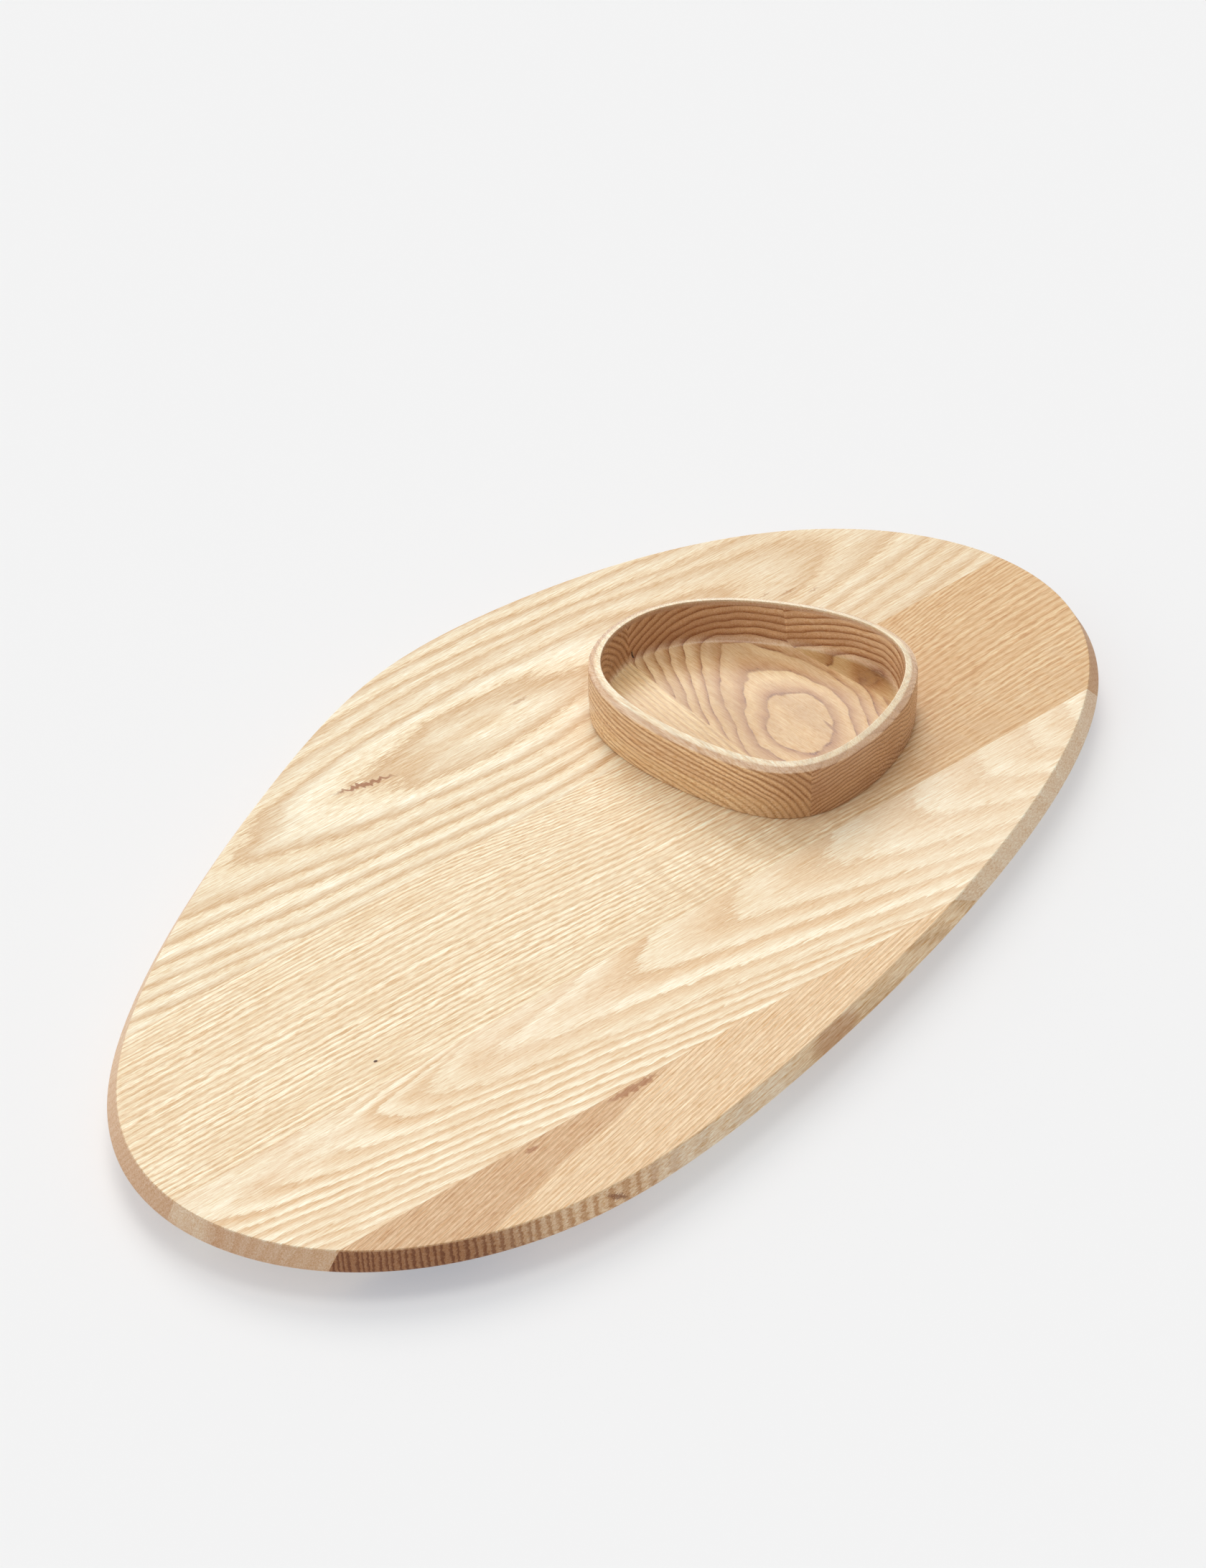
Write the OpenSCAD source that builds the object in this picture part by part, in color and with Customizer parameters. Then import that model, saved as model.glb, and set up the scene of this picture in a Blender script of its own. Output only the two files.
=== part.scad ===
// Chip and dip server: a pebble-shaped board glued up from four wooden staves on rubber feet,
// with a loose three-stave dip bowl that stands on it and lifts off.
// +Z is up, +X runs along the board's length towards the bowl, and z = 0 is the table.

/* [Board] */
// Overall length, measured at the widest line of the edge
board_l = 610; // [400:5:800]
// Overall width, measured at the widest line of the edge
board_w = 328; // [260:2:430]
// Thickness of the glued-up staves
board_t = 19; // [16:0.5:30]
// How far the edge slopes outwards below the top arris
edge_run = 4.8; // [1:0.1:8]
// Height of that sloping edge
edge_drop = 8.5; // [4:0.1:12]
// How far the underside is cut back from the widest line
undercut = 13; // [2:0.5:20]
// Angle of the three glue lines to the board's length
board_seam_angle = -11.2; // [-20:0.1:20]
// Distance from the board's centre to the glue line of the back stave
back_seam = 40.8; // [30:0.1:50]
// Distance from the board's centre to the glue line in the middle of the board
centre_seam = -60.2; // [-70:0.1:-40]
// Distance from the board's centre to the glue line of the front stave
front_seam = -133.4; // [-136:0.1:-110]

/* [Bowl] */
// Length of the opening along the board
bowl_opening_l = 116.6; // [90:0.2:150]
// Width of the opening across the board
bowl_opening_w = 135.3; // [110:0.2:170]
// Height of the bowl
bowl_h = 30; // [24:0.5:60]
// Thickness of its floor
bowl_floor = 8; // [4:0.5:10]
// Place of the bowl along the board, from the centre
bowl_x = 130.7; // [90:0.1:150]
// Width of the inner, flatter band of the rim
rim_band = 2.9; // [1:0.1:5]
// Drop across that band
rim_band_drop = 1.2; // [0:0.1:3]
// Width of the outer bevel of the rim
rim_bevel = 2.8; // [1:0.1:5]
// Drop across the outer bevel
rim_bevel_drop = 1.9; // [0.5:0.1:4]
// How far the outer wall bows out between rim and base
wall_bow = 0.4; // [0:0.1:1.5]
// How far the outer wall comes in from rim to base
wall_taper = 0.8; // [0:0.1:4]
// How far the inner wall comes in from the rim to the cove
inner_draft = 1.4; // [0:0.1:4]
// Radius of the cove between inner wall and floor
cove_r = 8; // [3:0.5:12]
// Angle of the left glue line to the board's length
left_seam_angle = 74.9; // [60:0.1:90]
// Where the left glue line crosses the bowl's long axis
left_seam_x = -25.9; // [-35:0.1:-15]
// Angle of the right glue line to the board's length
right_seam_angle = 84.5; // [70:0.1:95]
// Where the right glue line crosses the bowl's long axis
right_seam_x = 45.3; // [35:0.1:50]

/* [Feet and screws] */
// Height of a rubber foot
foot_h = 6; // [4:0.5:12]
// Diameter of a rubber foot where it meets the board
foot_d = 20; // [16:0.5:26]
// Diameter of the screw shank
screw_d = 3.5; // [2.5:0.1:4]
// How deep the screw goes into the board
screw_grip = 12; // [8:0.5:13]

/* [Hidden] */

// Colours of the wood and the hardware
BACK_ASH = [0.93, 0.84, 0.70];
DARK_ASH = [0.86, 0.74, 0.57];
MID_ASH = [0.92, 0.81, 0.65];
FRONT_ASH = [0.84, 0.71, 0.54];
BOWL_ASH = [0.84, 0.68, 0.52];
RUBBER = [0.12, 0.12, 0.12];
STEEL = [0.72, 0.73, 0.75];

// Control points of the two pebble outlines, in percent of half the length and half the width.
// They run anticlockwise and steer a smooth closed curve, which passes inside them.
BOARD_PEBBLE = [[108, -83], [101, 49], [33, 103], [0, 102], [-95, 53], [-106, -31], [-78, -89],
                [-28, -107]];
BOWL_PEBBLE = [[127, -89], [82, 46], [9, 111], [-98, 94], [-105, -42], [-72, -112]];
SPAN_STEPS = 20;

// Heights above the table
board_z = foot_h;
top_z = board_z + board_t;
lift_gap = 0.05;
bowl_z = top_z + lift_gap;

// Rounding of the board's widest line, and easing of its top arris
edge_round = 1;
arris = 0.4;

// Centres of the feet
FOOT_LEFT_FRONT = [-215, -70];
FOOT_RIGHT_FRONT = [220, -85];
FOOT_LEFT_BACK = [-165, 60];
FOOT_RIGHT_BACK = [190, 75];
FEET = [FOOT_LEFT_FRONT, FOOT_RIGHT_FRONT, FOOT_LEFT_BACK, FOOT_RIGHT_BACK];

// Hardware fits
hole_clearance = 0.05;
pilot_spare = 1;
head_d = 7;
head_h = 2.4;
recess_d = 8.4;
recess_depth = 3.2;
foot_taper = 1;
foot_round = 1;
REACH = 1000;

// One point of a closed uniform cubic spline, u from 0 to 1 along span i
function spline_point(c, i, u) =
    let (n = len(c))
    (pow(1 - u, 3) * c[i % n]
     + (3 * pow(u, 3) - 6 * u * u + 4) * c[(i + 1) % n]
     + (-3 * pow(u, 3) + 3 * u * u + 3 * u + 1) * c[(i + 2) % n]
     + pow(u, 3) * c[(i + 3) % n]) / 6;

function closed_spline(c) =
    [for (i = [0:len(c) - 1], k = [0:SPAN_STEPS - 1]) spline_point(c, i, k / SPAN_STEPS)];

function axis_values(points, axis) = [for (p = points) p[axis]];

// The outline through the control points, centred and scaled to an exact length and width
function pebble(c, l, w) =
    let (p = closed_spline(c), xs = axis_values(p, 0), ys = axis_values(p, 1),
         mid = [max(xs) + min(xs), max(ys) + min(ys)] / 2,
         k = [l / (max(xs) - min(xs)), w / (max(ys) - min(ys))])
    [for (q = p) [(q.x - mid.x) * k.x, (q.y - mid.y) * k.y]];

// The outline moved outwards along its own normals
function grown(points, d) =
    let (n = len(points))
    [for (i = [0:n - 1])
        let (t = points[(i + 1) % n] - points[(i + n - 1) % n])
        points[i] + d * [t.y, -t.x] / norm(t)];

// A closed solid through a chain of [growth, height] rings of one outline
module loft(outline, rings) {
    n = len(outline);
    last = len(rings) - 1;
    points = [for (r = rings, p = grown(outline, r[0])) [p.x, p.y, r[1]]];
    polyhedron(points, concat(
        [[for (j = [0:n - 1]) j]],
        [for (i = [0:last - 1], j = [0:n - 1]) [i * n + j, (i + 1) * n + j, (i + 1) * n + (j + 1) % n]],
        [for (i = [0:last - 1], j = [0:n - 1])
            [i * n + j, (i + 1) * n + (j + 1) % n, i * n + (j + 1) % n]],
        [[for (j = [n - 1:-1:0]) last * n + j]]));
}

// Everything to the left of a line through [x, 0], seen along the line's direction
module left_of(x, angle) {
    translate([x, 0, 0])
        rotate([0, 0, angle])
            translate([-REACH, 0, -REACH])
                cube([2 * REACH, 2 * REACH, 2 * REACH]);
}

// The whole board: undercut, rounded widest line, sloping edge, eased top arris
module board_blank() {
    top_outline = pebble(BOARD_PEBBLE, board_l - 2 * edge_run, board_w - 2 * edge_run);
    waist_z = top_z - edge_drop;
    loft(top_outline, [
        [edge_run - undercut, board_z],
        [edge_run - 2 * edge_round, waist_z - 1.5 * edge_round],
        [edge_run - 0.3 * edge_round, waist_z - 0.6 * edge_round],
        [edge_run, waist_z],
        [edge_run * arris / edge_drop, top_z - arris],
        [-arris, top_z]]);
}

module pilot_holes() {
    for (p = FEET)
        translate([p.x, p.y, board_z - pilot_spare])
            cylinder(h = screw_grip + 2 * pilot_spare, d = screw_d + 2 * hole_clearance, $fn = 48);
}

// One stave of the board, between two glue lines
module board_stave(from, to) {
    difference() {
        intersection() {
            board_blank();
            rotate([0, 0, board_seam_angle])
                translate([-REACH, from, 0])
                    cube([2 * REACH, to - from, REACH]);
        }
        pilot_holes();
    }
}

module back_stave() { color(BACK_ASH) board_stave(back_seam, REACH); }
module bowl_side_stave() { color(DARK_ASH) board_stave(centre_seam, back_seam); }
module middle_stave() { color(MID_ASH) board_stave(front_seam, centre_seam); }
module front_stave() { color(FRONT_ASH) board_stave(-REACH, front_seam); }

// The whole bowl about its own centre: up the outside, over the rim, down the cove to the floor
module bowl_blank() {
    opening = pebble(BOWL_PEBBLE, bowl_opening_l, bowl_opening_w);
    rim_w = rim_band + rim_bevel;
    shoulder = bowl_h - rim_band_drop - rim_bevel_drop;
    foot_bevel = 1;
    cove_steps = 6;
    cove_in = -inner_draft - cove_r;
    loft(opening, concat(
        [[rim_w - wall_taper - foot_bevel, 0],
         [rim_w - wall_taper, foot_bevel],
         [rim_w - wall_taper / 2 + wall_bow, shoulder / 2],
         [rim_w, shoulder],
         [rim_band, bowl_h - rim_band_drop],
         [0, bowl_h],
         [-inner_draft / 2, (bowl_h + bowl_floor + cove_r) / 2]],
        [for (i = [0:cove_steps])
            let (a = 90 * i / cove_steps)
            [cove_in + cove_r * cos(a), bowl_floor + cove_r * (1 - sin(a))]]));
}

module at_bowl() { translate([bowl_x, 0, bowl_z]) children(); }

module bowl_left_stave() {
    color(BOWL_ASH) at_bowl() intersection() {
        bowl_blank();
        left_of(left_seam_x, left_seam_angle);
    }
}

module bowl_middle_stave() {
    color(BOWL_ASH) at_bowl() intersection() {
        bowl_blank();
        left_of(left_seam_x, left_seam_angle + 180);
        left_of(right_seam_x, right_seam_angle);
    }
}

module bowl_right_stave() {
    color(BOWL_ASH) at_bowl() intersection() {
        bowl_blank();
        left_of(right_seam_x, right_seam_angle + 180);
    }
}

// A turned rubber foot with a recess for the screw head, standing at z = 0
module foot(p) {
    r = foot_d / 2;
    color(RUBBER) translate([p.x, p.y, 0])
        rotate_extrude($fn = 64)
            polygon([[recess_d / 2, 0], [r - foot_taper - foot_round, 0],
                     [r - foot_taper - 0.3, 0.3], [r - foot_taper, foot_round],
                     [r, foot_h], [screw_d / 2 + hole_clearance, foot_h],
                     [screw_d / 2 + hole_clearance, recess_depth], [recess_d / 2, recess_depth]]);
}

module foot_front_left() { foot(FOOT_LEFT_FRONT); }
module foot_front_right() { foot(FOOT_RIGHT_FRONT); }
module foot_back_left() { foot(FOOT_LEFT_BACK); }
module foot_back_right() { foot(FOOT_RIGHT_BACK); }

// A pan-head wood screw, driven up from below, its head against the foot's inner shelf
module foot_screw() {
    slot_w = 1.1;
    slot_l = 4.2;
    slot_depth = 1.3;
    head_z = recess_depth - head_h;
    difference() {
        rotate_extrude($fn = 48)
            polygon([[0, head_z], [head_d / 2 - 1, head_z], [head_d / 2, head_z + 0.9],
                     [head_d / 2, recess_depth], [screw_d / 2, recess_depth],
                     [screw_d / 2, foot_h + screw_grip - 3], [0, foot_h + screw_grip]]);
        for (a = [0, 90])
            rotate([0, 0, a])
                translate([-slot_l / 2, -slot_w / 2, head_z - slot_depth])
                    cube([slot_l, slot_w, 2 * slot_depth]);
    }
}

module foot_screws() {
    color(STEEL)
        for (p = FEET)
            translate([p.x, p.y, 0]) foot_screw();
}

back_stave();
bowl_side_stave();
middle_stave();
front_stave();
bowl_left_stave();
bowl_middle_stave();
bowl_right_stave();
foot_front_left();
foot_front_right();
foot_back_left();
foot_back_right();
foot_screws();
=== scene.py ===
import math

import bmesh
import bpy
import numpy as np
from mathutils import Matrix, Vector


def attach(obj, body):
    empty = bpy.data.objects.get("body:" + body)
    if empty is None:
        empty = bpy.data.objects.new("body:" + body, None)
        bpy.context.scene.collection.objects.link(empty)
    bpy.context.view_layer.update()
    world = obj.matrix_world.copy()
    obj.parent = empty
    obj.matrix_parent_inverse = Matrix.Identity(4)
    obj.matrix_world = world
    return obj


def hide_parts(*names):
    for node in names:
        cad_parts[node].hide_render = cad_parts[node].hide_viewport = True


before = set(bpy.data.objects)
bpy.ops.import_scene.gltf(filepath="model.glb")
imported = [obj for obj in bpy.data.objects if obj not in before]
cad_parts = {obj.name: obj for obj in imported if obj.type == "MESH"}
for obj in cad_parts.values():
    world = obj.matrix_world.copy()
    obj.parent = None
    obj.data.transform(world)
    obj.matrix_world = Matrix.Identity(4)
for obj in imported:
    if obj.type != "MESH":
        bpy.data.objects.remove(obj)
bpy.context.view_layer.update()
scene = bpy.context.scene
MM = 0.001

# ---------------------------------------------------------------- camera
# The view looks down at VIEW_TILT. Seen from above, the board's length lies VIEW_TURN away from the
# picture's horizontal. "Right" and "away" are the picture's axes laid flat on the table.
VIEW_TURN = math.radians(53)
VIEW_TILT = math.radians(38)
VIEW_RIGHT = Vector((math.cos(VIEW_TURN), -math.sin(VIEW_TURN), 0))
VIEW_AWAY = Vector((math.sin(VIEW_TURN), math.cos(VIEW_TURN), 0))
VIEW_TARGET = Vector((0.0504, 0.0264, 0.025))
VIEW_DISTANCE = 5.25
SENSOR_HEIGHT = 36.0
VIEW_LENS = 263.6

camera_data = bpy.data.cameras.new("view")
camera_data.sensor_fit = "VERTICAL"
camera_data.sensor_height = SENSOR_HEIGHT
camera_data.lens = VIEW_LENS
camera_data.clip_end = 50
camera = bpy.data.objects.new("view", camera_data)
scene.collection.objects.link(camera)
towards_camera = Vector((0, 0, math.sin(VIEW_TILT))) - VIEW_AWAY * math.cos(VIEW_TILT)
camera.location = VIEW_TARGET + towards_camera * VIEW_DISTANCE
camera.rotation_euler = (-towards_camera).to_track_quat("-Z", "Y").to_euler()
scene.camera = camera

# ---------------------------------------------------------------- light and floor
scene.view_settings.view_transform = "Standard"
scene.view_settings.look = "None"

SUN_HEIGHT = math.radians(46)
SUN_SPREAD = math.radians(34)
SUN_ENERGY = 1.06
SUN_LEFTWARD = 0.12
STUDIO_DIM, STUDIO_BRIGHT = 0.31, 0.80
STUDIO_TURN = 0.3
OVERHEAD_FROM, OVERHEAD_FULL, OVERHEAD_LEVEL = 0.95, 0.985, 3.0
sun_data = bpy.data.lights.new("soft_key", "SUN")
sun_data.energy = SUN_ENERGY
sun_data.angle = SUN_SPREAD
sun = bpy.data.objects.new("soft_key", sun_data)
scene.collection.objects.link(sun)
sun_side = VIEW_AWAY * math.cos(SUN_HEIGHT) - VIEW_RIGHT * SUN_LEFTWARD
sun.rotation_euler = (sun_side + Vector((0, 0, math.sin(SUN_HEIGHT)))).to_track_quat("Z", "Y").to_euler()


def make_world():
    """A white studio, brighter on the picture's left than on its right, with a bright patch overhead."""
    world = bpy.data.worlds.new("studio")
    world.use_nodes = True
    nodes, links = world.node_tree.nodes, world.node_tree.links
    where = nodes.new("ShaderNodeTexCoord")
    side = nodes.new("ShaderNodeVectorMath")
    side.operation = "DOT_PRODUCT"
    side.inputs[1].default_value = -VIEW_RIGHT + VIEW_AWAY * STUDIO_TURN
    level = nodes.new("ShaderNodeMapRange")
    level.inputs["From Min"].default_value = -1
    level.inputs["To Min"].default_value = STUDIO_DIM
    level.inputs["To Max"].default_value = STUDIO_BRIGHT
    links.new(where.outputs["Generated"], side.inputs[0])
    links.new(side.outputs["Value"], level.inputs["Value"])
    height = nodes.new("ShaderNodeSeparateXYZ")
    overhead = nodes.new("ShaderNodeMapRange")
    overhead.interpolation_type = "SMOOTHSTEP"
    overhead.inputs["From Min"].default_value = OVERHEAD_FROM
    overhead.inputs["From Max"].default_value = OVERHEAD_FULL
    overhead.inputs["To Max"].default_value = OVERHEAD_LEVEL
    total = nodes.new("ShaderNodeMath")
    links.new(where.outputs["Generated"], height.inputs[0])
    links.new(height.outputs["Z"], overhead.inputs["Value"])
    links.new(level.outputs["Result"], total.inputs[0])
    links.new(overhead.outputs["Result"], total.inputs[1])
    links.new(total.outputs["Value"], nodes["Background"].inputs["Strength"])
    nodes["Background"].inputs["Color"].default_value = (1, 1, 1, 1)
    scene.world = world


make_world()

# The floor also emits light, which keeps it pale and neutral in the board's shadow
FLOOR_SIZE = 14.0
FLOOR_DROP = 0.0001
FLOOR_COLOUR = (0.60, 0.555, 0.51, 1)
FLOOR_GLOW = (0.307, 0.352, 0.397, 1)
floor_mesh = bpy.data.meshes.new("floor")
half = FLOOR_SIZE / 2
floor_mesh.from_pydata([(-half, -half, 0), (half, -half, 0), (half, half, 0), (-half, half, 0)], [],
                       [(0, 1, 2, 3)])
floor = bpy.data.objects.new("floor", floor_mesh)
scene.collection.objects.link(floor)
floor_material = bpy.data.materials.new("floor")
floor_material.use_nodes = True
floor_look = floor_material.node_tree.nodes["Principled BSDF"]
floor_look.inputs["Base Color"].default_value = FLOOR_COLOUR
floor_look.inputs["Emission Color"].default_value = FLOOR_GLOW
floor_look.inputs["Emission Strength"].default_value = 1.0
floor_look.inputs["Roughness"].default_value = 0.9
floor_look.inputs["Specular IOR Level"].default_value = 0.0
floor_mesh.materials.append(floor_material)
floor.location.z = -FLOOR_DROP

# ---------------------------------------------------------------- outlines in mm, as the CAD model has them
BOARD_PEBBLE = [(108, -83), (101, 49), (33, 103), (0, 102), (-95, 53), (-106, -31), (-78, -89),
                (-28, -107)]
BOWL_PEBBLE = [(127, -89), (82, 46), (9, 111), (-98, 94), (-105, -42), (-72, -112)]
SPAN_STEPS = 60
SHARP_FROM = math.radians(40)

BOARD_L, BOARD_W = 610, 328
EDGE_RUN, EDGE_DROP, UNDERCUT = 4.8, 8.5, 13
BOARD_Z, TOP_Z = 6, 25
SEAM_ANGLE = -11.2
SEAMS = [-133.4, -60.2, 40.8]

BOWL_OPENING = (116.6, 135.3)
BOWL_X, BOWL_Z, BOWL_H, BOWL_FLOOR = 130.7, 25.05, 30, 8
RIM_BAND, RIM_BAND_DROP, RIM_BEVEL, RIM_BEVEL_DROP = 2.9, 1.2, 2.8, 1.9
WALL_BOW, WALL_TAPER, INNER_DRAFT, COVE_R = 0.4, 0.8, 1.4, 8
FLOOR_DISH = 0.7
BOWL_SEAMS = [(-25.9, 74.9), (45.3, 84.5)]


def closed_spline(control):
    """Points of the closed uniform cubic spline that the control points steer."""
    control = np.array(control, float)
    u = np.arange(SPAN_STEPS)[:, None] / SPAN_STEPS
    weights = [(1 - u) ** 3, 3 * u**3 - 6 * u * u + 4, -3 * u**3 + 3 * u * u + 3 * u + 1, u**3]
    spans = []
    for i in range(len(control)):
        spans.append(sum(w * control[(i + k) % len(control)] for k, w in enumerate(weights)) / 6)
    return np.vstack(spans)


def pebble(control, length, width):
    """The outline, centred and scaled to an exact length and width."""
    points = closed_spline(control)
    low, high = points.min(0), points.max(0)
    return (points - (low + high) / 2) / (high - low) * (length, width)


def grown(points, distance):
    """The outline moved outwards along its normals."""
    along = np.roll(points, -1, 0) - np.roll(points, 1, 0)
    normal = np.stack([along[:, 1], -along[:, 0]], 1) / np.hypot(*along.T)[:, None]
    return points + distance * normal


def rounded(profile, steps=5):
    """A [growth, height, radius] profile with an arc of that radius at each inner corner."""
    out = [profile[0][:2]]
    for before, here, after in zip(profile, profile[1:], profile[2:]):
        corner = np.array(here[:2], float)
        a = np.array(before[:2]) - corner
        b = np.array(after[:2]) - corner
        a_len, b_len = np.hypot(*a), np.hypot(*b)
        a, b = a / a_len, b / b_len
        half_angle = math.acos(max(-1, min(1, float(a @ b)))) / 2
        reach = min(here[2] / math.tan(half_angle), 0.45 * a_len, 0.45 * b_len)
        if reach < 1e-4:
            out.append(tuple(corner))
            continue
        radius = reach * math.tan(half_angle)
        centre = corner + (a + b) / np.hypot(*(a + b)) * radius / math.sin(half_angle)
        start, end = corner + a * reach - centre, corner + b * reach - centre
        sweep = math.atan2(start[0] * end[1] - start[1] * end[0], float(start @ end))
        for k in range(steps + 1):
            t = sweep * k / steps
            turned = (start[0] * math.cos(t) - start[1] * math.sin(t),
                      start[0] * math.sin(t) + start[1] * math.cos(t))
            out.append((centre[0] + turned[0], centre[1] + turned[1]))
    out.append(profile[-1][:2])
    return out


def lofted(outline, profile, first_cap, last_cap, place):
    """A closed bmesh: rings of the outline along the profile, and a ringed cap at each end.
    A cap is a list of (scale, height) rings that shrinks towards its middle, in mm."""
    rings = [(grown(outline, profile[0][0]) * k, z) for k, z in reversed(first_cap)]
    rings += [(grown(outline, g), z) for g, z in profile]
    rings += [(grown(outline, profile[-1][0]) * k, z) for k, z in last_cap]
    made = bmesh.new()
    loops = []
    for points, z in rings:
        if np.abs(points).max() < 1e-6:
            loops.append([made.verts.new((place[0] * MM, place[1] * MM, z * MM))])
        else:
            loops.append([made.verts.new(((x + place[0]) * MM, (y + place[1]) * MM, z * MM))
                          for x, y in points])
    for lower, upper in zip(loops, loops[1:]):
        count = max(len(lower), len(upper))
        for j in range(count):
            k = (j + 1) % count
            corners = [lower[j % len(lower)], lower[k % len(lower)], upper[k % len(upper)],
                       upper[j % len(upper)]]
            made.faces.new(list(dict.fromkeys(corners)))
    made.normal_update()
    return made


def keep_side(mesh, point, angle, keep_left):
    """Cuts the mesh with an upright plane through point, closes the cut, and keeps one side."""
    turn = math.radians(angle)
    normal = Vector((-math.sin(turn), math.cos(turn), 0))
    if keep_left:
        normal.negate()
    cut = bmesh.ops.bisect_plane(
        mesh, geom=mesh.verts[:] + mesh.edges[:] + mesh.faces[:], dist=1e-7,
        plane_co=Vector((point[0] * MM, point[1] * MM, 0)), plane_no=normal, clear_outer=True)
    edges = [e for e in cut["geom_cut"] if isinstance(e, bmesh.types.BMEdge) and e.is_boundary]
    bmesh.ops.edgenet_fill(mesh, edges=edges)
    bmesh.ops.recalc_face_normals(mesh, faces=mesh.faces[:])


def finished_piece(name, mesh, material, body, node):
    """Turns the bmesh into a smooth piece that stands for a CAD node and rides on its body."""
    data = bpy.data.meshes.new(name)
    mesh.to_mesh(data)
    mesh.free()
    data.materials.append(material)
    data.shade_smooth()
    data.set_sharp_from_angle(angle=SHARP_FROM)
    piece = bpy.data.objects.new(name, data)
    scene.collection.objects.link(piece)
    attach(piece, body)
    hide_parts(node)


# ---------------------------------------------------------------- wood
def linear(colour):
    """An sRGB colour, 0 to 255, as the linear colour that a shader takes."""
    out = []
    for channel in colour:
        c = channel / 255
        out.append(c / 12.92 if c <= 0.04045 else ((c + 0.055) / 1.055) ** 2.4)
    return (*out, 1)


# How far fine shade darkens red, green and blue, so that the grain darkens to brown and not to grey
SHADE_BITE = (0.5, 1.0, 1.6)
STREAK_SHADE, FIBRE_SHADE, PORE_SHADE, BROAD_SHADE = 0.7, 0.6, 0.16, 0.16
# Noise cells per mm along the grain, across it and upwards
STREAK_CELLS, FIBRE_CELLS, DASH_CELLS = (1 / 22, 1.5, 1.5), (1 / 5, 2.6, 2.6), (1 / 9, 0.8, 0.8)
PORE_CELLS, BREAK_CELLS = (1 / 3, 3, 3), (1 / 9, 1 / 7, 1 / 7)
DRIFT_CELLS, BROAD_CELLS = (1 / 60, 1 / 14, 1 / 14), (1 / 90, 1 / 30, 1 / 30)
RINGS_PER_SWELL = 2.3
FIBRE_ROUGHNESS = 0.14
BUMP_STRENGTH, BUMP_DEPTH = 0.25, 0.0002
EDGE_TONE_MIX = 0.72
# The tint of sawn ends, and (roughness, specular level)
BOARD_ENDS, BOARD_GLOSS = (0.79, 0.70, 0.67), (0.44, 0.35)
BOWL_ENDS, BOWL_GLOSS = (0.70, 0.59, 0.52), (0.2, 0.55)


class Nodes:
    """Short ways to add and link shader nodes."""

    def __init__(self, material):
        self.tree = material.node_tree

    def add(self, kind, **settings):
        node = self.tree.nodes.new(kind)
        for name, value in settings.items():
            setattr(node, name, value)
        return node

    def feed(self, socket, value):
        if isinstance(value, bpy.types.NodeSocket):
            self.tree.links.new(value, socket)
        else:
            socket.default_value = value

    def math(self, operation, a, b=0.0, c=0.0):
        node = self.add("ShaderNodeMath", operation=operation)
        for socket, value in zip(node.inputs, (a, b, c)):
            self.feed(socket, value)
        return node.outputs[0]

    def length(self, a, b):
        return self.math("SQRT", self.math("ADD", self.math("MULTIPLY", a, a), self.math("MULTIPLY", b, b)))

    def joined(self, a, b, c=0.0):
        node = self.add("ShaderNodeCombineXYZ")
        for socket, value in zip(node.inputs, (a, b, c)):
            self.feed(socket, value)
        return node.outputs[0]

    def scaled(self, vector, scale):
        node = self.add("ShaderNodeVectorMath", operation="MULTIPLY")
        self.feed(node.inputs[0], vector)
        self.feed(node.inputs[1], scale)
        return node.outputs[0]

    def noise(self, vector, detail=2.0, roughness=0.5):
        node = self.add("ShaderNodeTexNoise")
        self.feed(node.inputs["Vector"], vector)
        node.inputs["Scale"].default_value = 1.0
        node.inputs["Detail"].default_value = detail
        node.inputs["Roughness"].default_value = roughness
        return node.outputs["Fac"]

    def noise_1d(self, value, detail=1.0):
        node = self.add("ShaderNodeTexNoise", noise_dimensions="1D")
        self.feed(node.inputs["W"], value)
        node.inputs["Scale"].default_value = 1.0
        node.inputs["Detail"].default_value = detail
        return node.outputs["Fac"]

    def remap(self, value, low, high, to_low=0.0, to_high=1.0, smooth=True):
        node = self.add("ShaderNodeMapRange", interpolation_type="SMOOTHSTEP" if smooth else "LINEAR")
        for name, setting in (("Value", value), ("From Min", low), ("From Max", high), ("To Min", to_low),
                              ("To Max", to_high)):
            self.feed(node.inputs[name], setting)
        return node.outputs["Result"]

    def ramp(self, value, tones):
        node = self.add("ShaderNodeValToRGB")
        self.feed(node.inputs["Fac"], value)
        stops = node.color_ramp.elements
        stops[0].position, stops[0].color = tones[0][0], linear(tones[0][1])
        stops[1].position, stops[1].color = tones[-1][0], linear(tones[-1][1])
        for position, tone in tones[1:-1]:
            stops.new(position).color = linear(tone)
        return node.outputs["Color"]

    def tint(self, factor, colour, by):
        return self.mix(factor, colour, (*by, 1), blend="MULTIPLY")

    def mix(self, factor, a, b, blend="MIX"):
        node = self.add("ShaderNodeMix", data_type="RGBA", blend_type=blend)
        self.feed(node.inputs["Factor"], factor)
        self.feed(node.inputs["A"], a)
        self.feed(node.inputs["B"], b)
        return node.outputs["Result"]


def flat_rings(ring, tilt):
    """Rings seen edge on: planes a ring apart, leaning by tilt."""
    def field(n, u, v, w):
        d = n.math("MULTIPLY_ADD", w, math.tan(math.radians(tilt)), v)
        return n.math("DIVIDE", d, ring)
    return field


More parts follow.
